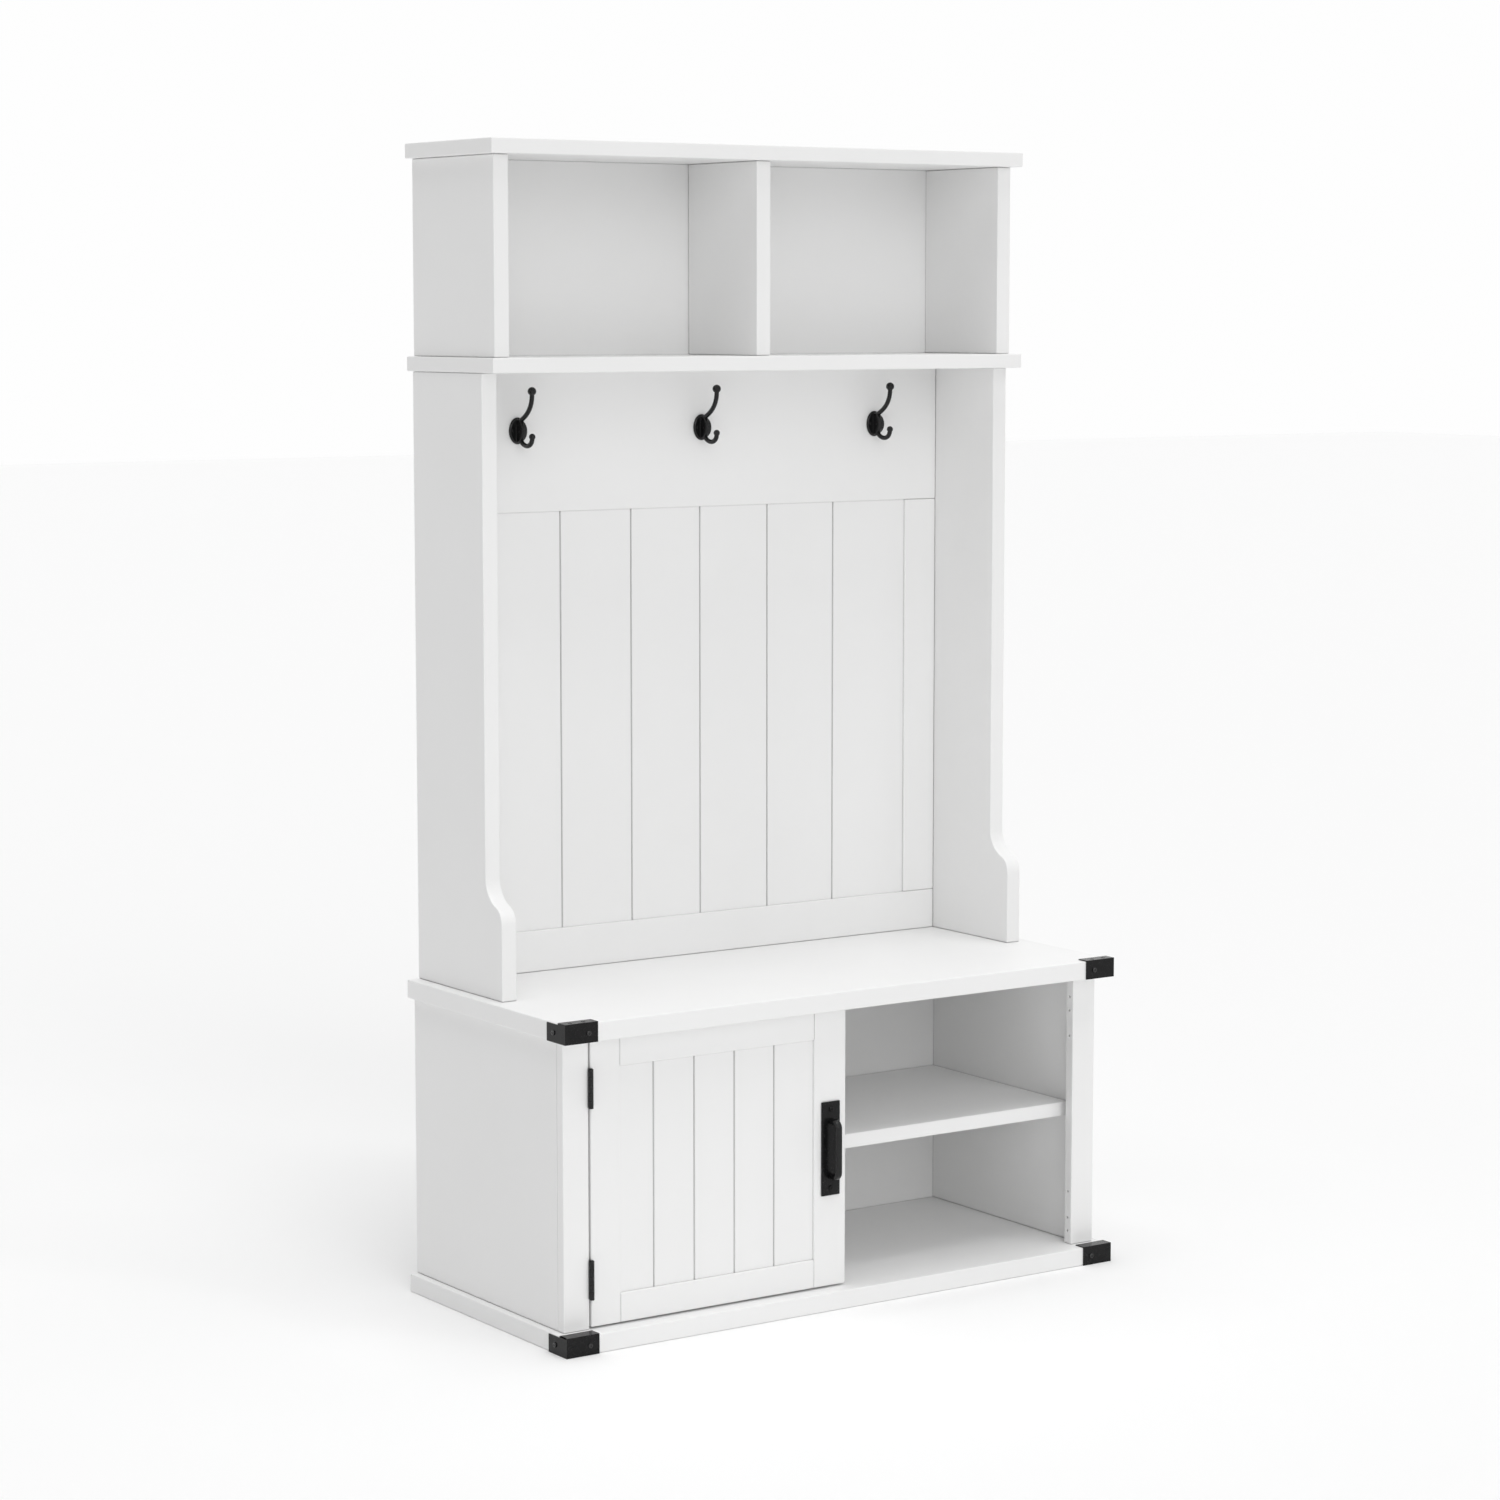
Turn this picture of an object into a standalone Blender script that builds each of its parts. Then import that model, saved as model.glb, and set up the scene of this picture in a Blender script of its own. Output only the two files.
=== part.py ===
"""Hall tree with hooks: a bench cabinet with one door, an open hutch with coat hooks, and two cubbies.

Metres, +Z up, +X to the right of someone facing the front, front towards -Y.
The origin is on the floor, under the middle of the whole outline.
Depths are measured forward from the back edges of the lower case.
"""

import math

import bmesh
import bpy
from mathutils import Matrix, Vector

# Fits
joint_gap = 0.0003
door_gap = 0.0035
door_end_gap = 0.003
door_rest_gap = 0.0013
running_gap = 0.0001

# Lower case
bench_width = 1.000
bench_depth = 0.456
bench_thickness = 0.028
base_thickness = 0.028
seat_height = 0.482
side_overhang = 0.012
front_overhang = 0.028
side_thickness = 0.025
stile_width = 0.043
stile_thickness = 0.017
divider_set_back = 0.002
case_back_depth = 0.045
case_shelf_rise = 0.222
case_shelf_thickness = 0.022
case_shelf_set_back = 0.031

# Hutch
hutch_inset = 0.020
hutch_depth = 0.2025
foot_projection = 0.0455
foot_rise = 0.113
ogee_hollow_radius = 0.042
ogee_round_radius = 0.027
hutch_height = 0.914
hutch_back_depth = 0.052
frame_thickness = 0.018
hook_rail_height = 0.212
lower_rail_height = 0.0635
hutch_stile_width = 0.0605
hutch_plank_pitch = 0.127
hutch_plank_count = 6

# Cubbies
upper_board_side_overhang = 0.002
upper_board_front_overhang = 0.0365
upper_board_thickness = 0.022
cubby_inset = 0.010
cubby_set_back = 0.016
cubby_height = 0.291
cubby_back_depth = 0.036
rear_step = 0.014

# Door
door_right_edge = 0.008
door_thickness = 0.018
hinge_stile_width = 0.050
lock_stile_width = 0.057
door_rail_width = 0.043
door_plank_pitch = 0.0707

# Panels and edges
back_thickness = 0.009
panel_thickness = 0.008
panel_recess = 0.0040
tongue = 0.008
groove_width = 0.0032
groove_depth = 0.0048
edge_radius = 0.0015
sharp_angle = math.radians(40)

# Hooks: arm points are (forward, up) from the middle of the rose's back
hook_pitch = 0.331
hook_drop = 0.0895
rose_half_height = 0.020
rose_half_width = 0.0148
rose_thickness = 0.003
rose_edge_height = 0.0017
rose_edge_width = 0.0028
fin_reach = 0.0235
fin_half_height = 0.0172
fin_thickness = 0.007
fin_root = 0.0008
arm_radius = 0.0035
hook_reach = 0.0432
upper_arm_start = (0.005, 0.0135)
upper_arm_bends = ((0.027, 0.022), (0.0443, 0.034))
lower_arm_start = (0.008, -0.0105)
lower_arm_bends = ((0.015, -0.0255), (0.0425, -0.0265))
upper_ball_rise = 0.0576
lower_ball_drop = 0.0095
upper_ball_radius = 0.0064
lower_ball_radius = 0.0046
upper_ball_lift = 0.0022
lower_ball_lift = 0.0016

# Corner brackets and screws
bracket_thickness = 0.0015
bracket_front_leg = 0.055
bracket_side_leg = 0.050
bracket_flange = 0.020
front_screw_inset = 0.0395
side_screw_inset = 0.032
screw_head_radius = 0.0038
screw_head_height = 0.0018
screw_head_rim = 0.0006
screw_shank_radius = 0.0015
screw_tip_radius = 0.0007
screw_tip_length = 0.002
screw_length = 0.014
screw_clearance = 0.0004

# Handle
handle_plate_width = 0.0335
handle_plate_height = 0.143
handle_plate_thickness = 0.0025
plate_edge_radius = 0.0008
grip_height = 0.092
grip_width = 0.010
grip_thickness = 0.008
grip_edge_radius = 0.0028
grip_projection = 0.0235
grip_corner_radius = 0.009
grip_foot_length = 0.002
handle_screw_spacing = 0.120

# Hinges
hinge_height = 0.0576
hinge_barrel_radius = 0.00375
hinge_pin_radius = 0.0016
hinge_cap_radius = 0.003
hinge_cap_top_radius = 0.002
hinge_cap_height = 0.0012
hinge_leaf_gap = 0.0005
hinge_leaf_depth = 0.015
hinge_tab_lap = 0.001
hinge_knuckles = 5
hinge_from_door_end = 0.070

# Magnetic catch
catch_size = (0.013, 0.034, 0.040)
strike_size = (0.012, 0.0010, 0.030)
catch_drop = 0.044
catch_edge_radius = 0.0015
strike_edge_radius = 0.0003

# Spare hinge holes in the right stile, measured from the case's floor and from its roof
pilot_radius = 0.0022
pilot_depth = 0.010
pilot_rises = (0.021, 0.042, 0.084)
pilot_drops = (0.032, 0.054, 0.094)

# How far a cutter runs past what it cuts, and how many straight steps stand for a curve
cutter_margin = 0.002
weld_distance = 0.000001
arc_steps = 10
round_sides = 24
screw_sides = 16
rose_sides = 32
hole_sides = 16

# Levels and faces worked out from the sizes above
total_depth = rear_step + bench_depth + bracket_thickness + screw_head_height + 2 * joint_gap
back_y = total_depth / 2 - rear_step
case_half = bench_width / 2 - side_overhang
case_depth = bench_depth - front_overhang
case_floor = base_thickness
case_roof = seat_height - bench_thickness
case_shelf_top = case_floor + case_shelf_rise
case_shelf_depth = case_depth - case_shelf_set_back
hutch_half = bench_width / 2 - hutch_inset
foot_depth = hutch_depth + foot_projection
hutch_roof = seat_height + hutch_height
hook_height = hutch_roof - hook_drop
cubby_floor = hutch_roof + upper_board_thickness
cubby_roof = cubby_floor + cubby_height
upper_board_half = hutch_half + upper_board_side_overhang
upper_board_depth = hutch_depth + upper_board_front_overhang
cubby_half = hutch_half - cubby_inset
cubby_depth = upper_board_depth - cubby_set_back
door_left_edge = -case_half + stile_width + door_gap
door_bottom = case_floor + door_end_gap
door_top = case_roof - door_end_gap
handle_height = (door_bottom + door_top) / 2
hinge_x = door_left_edge - door_gap / 2
hinge_depth = case_depth + hinge_barrel_radius + joint_gap
hinge_leaf_thickness = (door_gap - 2 * joint_gap - hinge_leaf_gap) / 2
catch_height = case_roof - catch_drop
divider_right = door_right_edge - divider_set_back
divider_left = divider_right - side_thickness


def clear_scene():
    for obj in list(bpy.data.objects):
        bpy.data.objects.remove(obj)


def make_material(name, color, roughness, metallic):
    material = bpy.data.materials.new(name)
    material.use_nodes = True
    shader = material.node_tree.nodes["Principled BSDF"]
    shader.inputs["Base Color"].default_value = (*color, 1.0)
    shader.inputs["Roughness"].default_value = roughness
    shader.inputs["Metallic"].default_value = metallic
    material.diffuse_color = (*color, 1.0)
    return material


def depth_y(depth):
    """World Y of a distance in front of the lower case's back edges."""
    return back_y - depth


def make_object(name, mesh, location, material, smooth=False):
    mesh.materials.clear()
    mesh.materials.append(material)
    if smooth:
        mesh.shade_smooth()
        mesh.set_sharp_from_angle(angle=sharp_angle)
    obj = bpy.data.objects.new(name, mesh)
    obj.location = location
    bpy.context.scene.collection.objects.link(obj)
    return obj


def finish_mesh(name, bm):
    bmesh.ops.recalc_face_normals(bm, faces=bm.faces)
    mesh = bpy.data.meshes.new(name)
    bm.to_mesh(mesh)
    bm.free()
    return mesh


def box_mesh(name, size):
    bm = bmesh.new()
    bmesh.ops.create_cube(bm, size=1.0, matrix=Matrix.Diagonal((*size, 1.0)))
    return finish_mesh(name, bm)


def round_edges(obj, radius=edge_radius, segments=2):
    bevel = obj.modifiers.new("rounded_edges", "BEVEL")
    bevel.width = radius
    bevel.segments = segments
    bevel.limit_method = "ANGLE"
    bevel.angle_limit = sharp_angle
    return obj


def cut(obj, cutter):
    boolean = obj.modifiers.new("cut_" + cutter.name, "BOOLEAN")
    boolean.operation = "DIFFERENCE"
    boolean.object = cutter


def box(name, xs, depths, zs, material, radius=edge_radius):
    """A rectangular piece between two X values, two depths and two heights."""
    size = (xs[1] - xs[0], depths[1] - depths[0], zs[1] - zs[0])
    centre = (sum(xs) / 2, depth_y(sum(depths) / 2), sum(zs) / 2)
    obj = make_object(name, box_mesh(name, size), centre, material)
    return round_edges(obj, radius) if radius else obj


def helper_box(name, xs, depths, zs):
    obj = box(name, xs, depths, zs, white_paint, 0)
    obj.hide_render = True
    obj.display_type = "WIRE"
    return obj


def prism_mesh(name, outline, direction):
    """The closed outline, a list of local points, extruded along direction and centred on it."""
    bm = bmesh.new()
    half = Vector(direction) / 2
    face = bm.faces.new([bm.verts.new(Vector(point) - half) for point in outline])
    grown = bmesh.ops.extrude_face_region(bm, geom=[face])
    moved = [item for item in grown["geom"] if isinstance(item, bmesh.types.BMVert)]
    bmesh.ops.translate(bm, vec=direction, verts=moved)
    return finish_mesh(name, bm)


def turned_mesh(name, profile, steps, axis):
    """A profile of (radius, distance) points, first and last on the axis, turned about it."""
    bm = bmesh.new()
    points = [bm.verts.new((radius, 0.0, along)) for radius, along in profile]
    edges = [bm.edges.new(pair) for pair in zip(points, points[1:])]
    bmesh.ops.spin(
        bm, geom=points + edges, cent=(0, 0, 0), axis=(0, 0, 1),
        angle=math.tau, steps=steps, use_merge=True,
    )
    bmesh.ops.remove_doubles(bm, verts=bm.verts, dist=weld_distance)
    turn = Vector((0, 0, 1)).rotation_difference(Vector(axis)).to_matrix()
    bmesh.ops.rotate(bm, cent=(0, 0, 0), matrix=turn, verts=bm.verts)
    return finish_mesh(name, bm)


def helper_rod(name, radius, start, axis, length, sides=hole_sides):
    """A cutter rod that begins at a world point and runs along an axis."""
    profile = [(0, 0), (radius, 0), (radius, length), (0, length)]
    obj = make_object(name, turned_mesh(name, profile, sides, axis), start, black_metal)
    obj.hide_render = True
    obj.display_type = "WIRE"
    return obj


def bezier(p0, p1, p2, p3, steps):
    """Points along a cubic curve, both ends included."""
    points = []
    for step in range(steps + 1):
        t = step / steps
        weights = ((1 - t) ** 3, 3 * t * (1 - t) ** 2, 3 * t * t * (1 - t), t ** 3)
        point = Vector((0, 0))
        for control, weight in zip((p0, p1, p2, p3), weights):
            point += Vector(control) * weight
        points.append(point)
    return points


def arc_points(centre, radius, start_deg, end_deg, steps):
    points = []
    for step in range(steps + 1):
        angle = math.radians(start_deg + (end_deg - start_deg) * step / steps)
        spoke = Vector((math.cos(angle), math.sin(angle)))
        points.append(Vector(centre) + spoke * radius)
    return points


def swept_mesh(name, path, section):
    """A section of (sideways, inward) offsets carried along a path of (forward, up) points."""
    bm = bmesh.new()
    rings = []
    for index, point in enumerate(path):
        before = path[max(index - 1, 0)]
        after = path[min(index + 1, len(path) - 1)]
        tangent = (after - before).normalized()
        normal = Vector((-tangent.y, tangent.x))
        ring = []
        for sideways, inward in section:
            place = point + normal * inward
            ring.append(bm.verts.new((sideways, -place.x, place.y)))
        rings.append(ring)
    count = len(section)
    for first, second in zip(rings, rings[1:]):
        for i in range(count):
            bm.faces.new((first[i], first[(i + 1) % count], second[(i + 1) % count], second[i]))
    bm.faces.new(rings[0])
    bm.faces.new(rings[-1])
    return finish_mesh(name, bm)


def circle_section(radius, sides):
    return [
        (radius * math.cos(math.tau * i / sides), radius * math.sin(math.tau * i / sides))
        for i in range(sides)
    ]


def rounded_section(width, thickness, radius, steps=3):
    section = []
    corners = ((1, 1, 0), (-1, 1, 90), (-1, -1, 180), (1, -1, 270))
    for sx, sy, start in corners:
        centre = (sx * (width / 2 - radius), sy * (thickness / 2 - radius))
        section += [tuple(point) for point in arc_points(centre, radius, start, start + 90, steps)]
    return section


def combined(name, mesh, others, operation="UNION"):
    """One closed mesh: a mesh with others that overlap it joined on, or cut away."""
    base = make_object(name, mesh, (0, 0, 0), black_metal)
    helpers = []
    for index, other in enumerate(others):
        helper = make_object(f"{name}_piece_{index}", other, (0, 0, 0), black_metal)
        boolean = base.modifiers.new("combine", "BOOLEAN")
        boolean.operation = operation
        boolean.object = helper
        helpers.append(helper)
    graph = bpy.context.evaluated_depsgraph_get()
    result = bpy.data.meshes.new_from_object(base.evaluated_get(graph))
    for obj in [base, *helpers]:
        bpy.data.objects.remove(obj)
    result.name = name
    return result


def grooved_panel(name, xs, front_depth, zs, groove_lines, material):
    """A tongued panel whose face has a V groove at each X in groove_lines."""
    middle = sum(xs) / 2
    outline = [(xs[0] - middle, panel_thickness / 2, 0)]
    outline.append((xs[0] - middle, -panel_thickness / 2, 0))
    for line in groove_lines:
        for across, deep in ((-groove_width / 2, 0.0), (0.0, groove_depth), (groove_width / 2, 0.0)):
            outline.append((line + across - middle, deep - panel_thickness / 2, 0))
    outline.append((xs[1] - middle, -panel_thickness / 2, 0))
    outline.append((xs[1] - middle, panel_thickness / 2, 0))
    mesh = prism_mesh(name, outline, (0, 0, zs[1] - zs[0]))
    centre = (middle, depth_y(front_depth - panel_thickness / 2), sum(zs) / 2)
    return make_object(name, mesh, centre, material)


def panel_groove(name, xs, front_depth, zs):
    """The cutter that houses a tongued panel's edges in the frame around it."""
    return helper_box(
        name,
        (xs[0] - joint_gap, xs[1] + joint_gap),
        (front_depth - panel_thickness - joint_gap, front_depth + joint_gap),
        (zs[0] - joint_gap, zs[1] + joint_gap),
    )


def pan_screw_profile():
    """A tapered tip, a plain shank and a domed head whose underside is at zero."""
    tip = -screw_length
    dome_height = screw_head_height - screw_head_rim
    profile = [(0, tip), (screw_tip_radius, tip), (screw_shank_radius, tip + screw_tip_length)]
    profile += [(screw_shank_radius, 0), (screw_head_radius, 0)]
    for angle in (0, math.radians(30), math.radians(60)):
        height = screw_head_rim + dome_height * math.sin(angle)
        profile.append((screw_head_radius * math.cos(angle), height))
    profile.append((0, screw_head_height))
    return profile


def pan_screw(name, seat, outward, bodies, material):
    """A screw whose head sits just off a surface point, with clearance holes in the pieces it passes."""
    seat = Vector(seat)
    outward = Vector(outward)
    mesh = turned_mesh(name, pan_screw_profile(), screw_sides, outward)
    screw = make_object(name, mesh, seat + outward * joint_gap, material, True)
    start = seat + outward * cutter_margin
    length = screw_length + 2 * cutter_margin
    hole = helper_rod(name + "_hole", screw_shank_radius + screw_clearance, start, -outward, length)
    for body in bodies:
        cut(body, hole)
    return screw, hole


def build_lower_case():
    bench_half = bench_width / 2
    low, high = case_floor + joint_gap, case_roof - joint_gap
    side_front = case_depth - stile_thickness - joint_gap
    inner = case_half - side_thickness
    xs = (-bench_half, bench_half)
    base = box("base_board", xs, (0, bench_depth), (0, base_thickness), white_paint)
    bench = box("bench_top", xs, (0, bench_depth), (case_roof, seat_height), white_paint)
    for side, sign in (("left", -1), ("right", 1)):
        xs = sorted((sign * case_half, sign * inner))
        box("cabinet_side_" + side, xs, (0, side_front), (low, high), white_paint)
        xs = sorted((sign * case_half, sign * (case_half - stile_width)))
        depths = (case_depth - stile_thickness, case_depth)
        box("face_stile_" + side, xs, depths, (low, high), white_paint)
    back = (case_back_depth - back_thickness, case_back_depth)
    ends = (-inner + joint_gap, inner - joint_gap)
    box("cabinet_back", ends, back, (low, high), white_paint, 0)
    depths = (case_back_depth + joint_gap, case_depth - door_thickness - door_rest_gap)
    box("centre_divider", (divider_left, divider_right), depths, (low, high), white_paint)
    depths = (case_back_depth + joint_gap, case_shelf_depth)
    zs = (case_shelf_top - case_shelf_thickness, case_shelf_top)
    box("open_bay_shelf", (divider_right + joint_gap, inner - joint_gap), depths, zs, white_paint)
    box("door_bay_shelf", (-inner + joint_gap, divider_left - joint_gap), depths, zs, white_paint)
    return base, bench


def cut_pilot_holes():
    stile = bpy.data.objects["face_stile_right"]
    start_x = case_half - stile_width - cutter_margin
    start_y = depth_y(case_depth - stile_thickness / 2)
    heights = [case_floor + rise for rise in pilot_rises]
    heights += [case_roof - drop for drop in pilot_drops]
    for index, height in enumerate(heights):
        start = (start_x, start_y, height)
        length = pilot_depth + cutter_margin
        cut(stile, helper_rod(f"pilot_{index}", pilot_radius, start, (1, 0, 0), length))


def hutch_side_outline():
    """The side panel's outline in (depth, height), with an ogee above its foot."""
    turn = 2 * math.degrees(math.atan2(foot_projection, ogee_rise()))
    foot_top = seat_height + foot_rise
    round_centre = (foot_depth - ogee_round_radius, foot_top)
    hollow_centre = (hutch_depth + ogee_hollow_radius, foot_top + ogee_rise())
    outline = [Vector((0, seat_height + joint_gap)), Vector((foot_depth, seat_height + joint_gap))]
    outline += arc_points(round_centre, ogee_round_radius, 0, turn, arc_steps)
    outline += arc_points(hollow_centre, ogee_hollow_radius, 180 + turn, 180, arc_steps)[1:]
    outline += [Vector((hutch_depth, hutch_roof - joint_gap)), Vector((0, hutch_roof - joint_gap))]
    return outline


def ogee_rise():
    """Height of the two tangent arcs that carry the edge from the foot back to the upright."""
    total = ogee_hollow_radius + ogee_round_radius
    return math.sqrt(total ** 2 - (total - foot_projection) ** 2)


def build_hutch():
    outline = hutch_side_outline()
    for side, sign in (("left", -1), ("right", 1)):
        name = "hutch_side_" + side
        points = [(0, -point.x, point.y) for point in outline]
        mesh = prism_mesh(name, points, (side_thickness, 0, 0))
        place = (sign * (hutch_half - side_thickness / 2), back_y, 0)
        obj = make_object(name, mesh, place, white_paint)
        round_edges(obj)
    inner = hutch_half - side_thickness - joint_gap
    depths = (hutch_back_depth - frame_thickness, hutch_back_depth)
    rail_bottom = hutch_roof - hook_rail_height
    lower_top = seat_height + lower_rail_height
    rail = box("hook_rail", (-inner, inner), depths, (rail_bottom, hutch_roof - joint_gap), white_paint)
    zs = (seat_height + joint_gap, lower_top)
    lower = box("hutch_lower_rail", (-inner, inner), depths, zs, white_paint)
    frame = [rail, lower]
    stile_inner = inner + joint_gap - hutch_stile_width
    for side, sign in (("left", -1), ("right", 1)):
        xs = sorted((sign * inner, sign * stile_inner))
        zs = (lower_top + joint_gap, rail_bottom - joint_gap)
        frame.append(box("hutch_stile_" + side, xs, depths, zs, white_paint))
    panel_xs = (-stile_inner - tongue, stile_inner + tongue)
    panel_zs = (lower_top - tongue, rail_bottom + tongue)
    front = hutch_back_depth - panel_recess
    lines = [hutch_plank_pitch * (i - hutch_plank_count / 2) for i in range(1, hutch_plank_count)]
    grooved_panel("hutch_plank_panel", panel_xs, front, panel_zs, lines, white_paint)
    groove = panel_groove("hutch_groove", panel_xs, front, panel_zs)
    for member in frame:
        cut(member, groove)


def build_cubbies():
    xs = (-upper_board_half, upper_board_half)
    depths = (-rear_step, upper_board_depth)
    box("cubby_shelf_board", xs, depths, (hutch_roof, cubby_floor), white_paint)
    box("top_board", xs, depths, (cubby_roof, cubby_roof + upper_board_thickness), white_paint)
    low, high = cubby_floor + joint_gap, cubby_roof - joint_gap
    inner = cubby_half - side_thickness
    for side, sign in (("left", -1), ("right", 1)):
        xs = sorted((sign * cubby_half, sign * inner))
        box("cubby_side_" + side, xs, (-rear_step, cubby_depth), (low, high), white_paint)
    half = side_thickness / 2
    depths = (cubby_back_depth + joint_gap, cubby_depth)
    box("cubby_divider", (-half, half), depths, (low, high), white_paint)
    depths = (cubby_back_depth - back_thickness, cubby_back_depth)
    box("cubby_back", (-inner + joint_gap, inner - joint_gap), depths, (low, high), white_paint, 0)


def build_door(pivot):
    depths = (case_depth - door_thickness, case_depth)
    inner_left = door_left_edge + hinge_stile_width
    inner_right = door_right_edge - lock_stile_width
    zs = (door_bottom, door_top)
    hinge_stile = box("door_stile_hinge", (door_left_edge, inner_left), depths, zs, white_paint)
    lock_stile = box("door_stile_lock", (inner_right, door_right_edge), depths, zs, white_paint)
    xs = (inner_left + joint_gap, inner_right - joint_gap)
    top = box("door_rail_top", xs, depths, (door_top - door_rail_width, door_top), white_paint)
    zs = (door_bottom, door_bottom + door_rail_width)
    bottom = box("door_rail_bottom", xs, depths, zs, white_paint)
    panel_xs = (inner_left - tongue, inner_right + tongue)
    panel_zs = (door_bottom + door_rail_width - tongue, door_top - door_rail_width + tongue)
    front = case_depth - panel_recess
    plank_joints = int((inner_right - inner_left) / door_plank_pitch)
    lines = [inner_right - door_plank_pitch * i for i in range(plank_joints, 0, -1)]
    panel = grooved_panel("door_panel", panel_xs, front, panel_zs, lines, white_paint)
    groove = panel_groove("door_groove", panel_xs, front, panel_zs)
    frame = [hinge_stile, lock_stile, top, bottom]
    for member in frame:
        cut(member, groove)
    moving = [*frame, panel, groove]
    moving += build_handle(lock_stile)
    parent_to(pivot, moving)


def build_handle(stile):
    centre_x = door_right_edge - lock_stile_width / 2
    xs = (centre_x - handle_plate_width / 2, centre_x + handle_plate_width / 2)
    zs = (handle_height - handle_plate_height / 2, handle_height + handle_plate_height / 2)
    plate_front = case_depth + joint_gap + handle_plate_thickness
    depths = (case_depth + joint_gap, plate_front)
    plate = box("handle_plate", xs, depths, zs, black_metal, plate_edge_radius)
    reach = grip_projection - grip_thickness / 2
    half = (grip_height - grip_thickness) / 2
    r = grip_corner_radius
    path = [Vector((joint_gap, half)), Vector((grip_foot_length, half))]
    path += arc_points((reach - r, half - r), r, 90, 0, 8)
    path += [Vector((reach, 0))]
    path += [Vector((point.x, -point.y)) for point in reversed(path[:-1])]
    section = rounded_section(grip_width, grip_thickness, grip_edge_radius)
    place = (centre_x, depth_y(plate_front), handle_height)
    mesh = swept_mesh("handle_grip", path, section)
    grip = make_object("handle_grip", mesh, place, black_metal, True)
    pieces = [plate, grip]
    for end, sign in (("lower", -1), ("upper", 1)):
        seat = (centre_x, depth_y(plate_front), handle_height + sign * handle_screw_spacing / 2)
        pieces += pan_screw("handle_screw_" + end, seat, (0, -1, 0), (plate, stile), black_metal)
    return pieces


def parent_to(pivot, objects):
    bpy.context.view_layer.update()
    for obj in objects:
        obj.parent = pivot
        obj.matrix_parent_inverse = pivot.matrix_world.inverted()


def knuckle_spans(height):
    """Heights of each knuckle of a hinge centred on a height, from the bottom up."""
    pitch = hinge_height / hinge_knuckles
    bottom = height - hinge_height / 2
    gap = joint_gap / 2
    return [(bottom + i * pitch + gap, bottom + (i + 1) * pitch - gap) for i in range(hinge_knuckles)]


def hinge_leaf(name, height, sign, own_knuckles):
    """A leaf in the gap beside the door with its own knuckles around the pin."""
    barrel_back = hinge_barrel_radius + joint_gap
    tab_reach = barrel_back + hinge_tab_lap
    middle_x = sign * (hinge_leaf_gap + hinge_leaf_thickness) / 2
    plate = box_mesh(name, (hinge_leaf_thickness, hinge_leaf_depth, hinge_height - joint_gap))
    plate.transform(Matrix.Translation((middle_x, barrel_back + hinge_leaf_depth / 2, 0)))
    others = []
    for low, high in (knuckle_spans(0)[i] for i in own_knuckles):
        half = (high - low) / 2
        middle = (low + high) / 2
        profile = [(0, -half), (hinge_barrel_radius, -half), (hinge_barrel_radius, half), (0, half)]
        knuckle = turned_mesh(name + "_knuckle", profile, round_sides, (0, 0, 1))
        knuckle.transform(Matrix.Translation((0, 0, middle)))
        tab = box_mesh(name + "_tab", (hinge_leaf_thickness, tab_reach, 2 * half))
        tab.transform(Matrix.Translation((middle_x, tab_reach / 2 + hinge_tab_lap, middle)))
        others += [knuckle, tab]
    mesh = combined(name, plate, others)
    leaf = make_object(name, mesh, (hinge_x, depth_y(hinge_depth), height), black_metal, True)
    start = (hinge_x, depth_y(hinge_depth), height - hinge_height)
    radius = hinge_pin_radius + running_gap
    bore = helper_rod(name + "_bore", radius, start, (0, 0, 1), 2 * hinge_height, round_sides)
    cut(leaf, bore)
    return leaf, bore


def hinge_pin(name, height):
    """A plain rod with a tapered cap standing on the top knuckle."""
    half = hinge_height / 2
    seat = half + joint_gap
    profile = [(0, -half), (hinge_pin_radius, -half), (hinge_pin_radius, seat)]
    profile += [(hinge_cap_radius, seat), (hinge_cap_top_radius, half + hinge_cap_height)]
    profile.append((0, half + hinge_cap_height))
    mesh = turned_mesh(name, profile, round_sides, (0, 0, 1))
    make_object(name, mesh, (hinge_x, depth_y(hinge_depth), height), black_metal, True)


def build_hinges(pivot):
    heights = {"lower": door_bottom + hinge_from_door_end, "upper": door_top - hinge_from_door_end}
    for place, height in heights.items():
        hinge_leaf(f"hinge_{place}_case_leaf", height, -1, range(0, hinge_knuckles, 2))
        parent_to(pivot, hinge_leaf(f"hinge_{place}_door_leaf", height, 1, range(1, hinge_knuckles, 2)))
        hinge_pin(f"hinge_{place}_pin", height)


def build_catch(pivot):
    width, deep, tall = catch_size
    strike_wide, strike_thick, strike_tall = strike_size
    back_face = case_depth - door_thickness
    strike_depths = (back_face - joint_gap - strike_thick, back_face - joint_gap)
    catch_front = strike_depths[0] - joint_gap
    xs = (divider_left - joint_gap - width, divider_left - joint_gap)
    zs = (catch_height - tall / 2, catch_height + tall / 2)
    box("catch_magnet", xs, (catch_front - deep, catch_front), zs, dark_plastic, catch_edge_radius)
    middle = sum(xs) / 2
    xs = (middle - strike_wide / 2, middle + strike_wide / 2)
    zs = (catch_height - strike_tall / 2, catch_height + strike_tall / 2)
    strike = box("catch_strike", xs, strike_depths, zs, bright_steel, strike_edge_radius)
    parent_to(pivot, [strike])


def hook_rose():
    """An upright oval plate with a sloping rim."""
    edge = rose_half_height - rose_edge_width
    profile = [(0, 0), (rose_half_height, 0), (rose_half_height, rose_edge_height)]
    profile += [(edge, rose_thickness), (0, rose_thickness)]
    mesh = turned_mesh("hook_rose", profile, rose_sides, (0, -1, 0))
    mesh.transform(Matrix.Diagonal((rose_half_width / rose_half_height, 1, 1, 1)))
    return mesh


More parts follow.
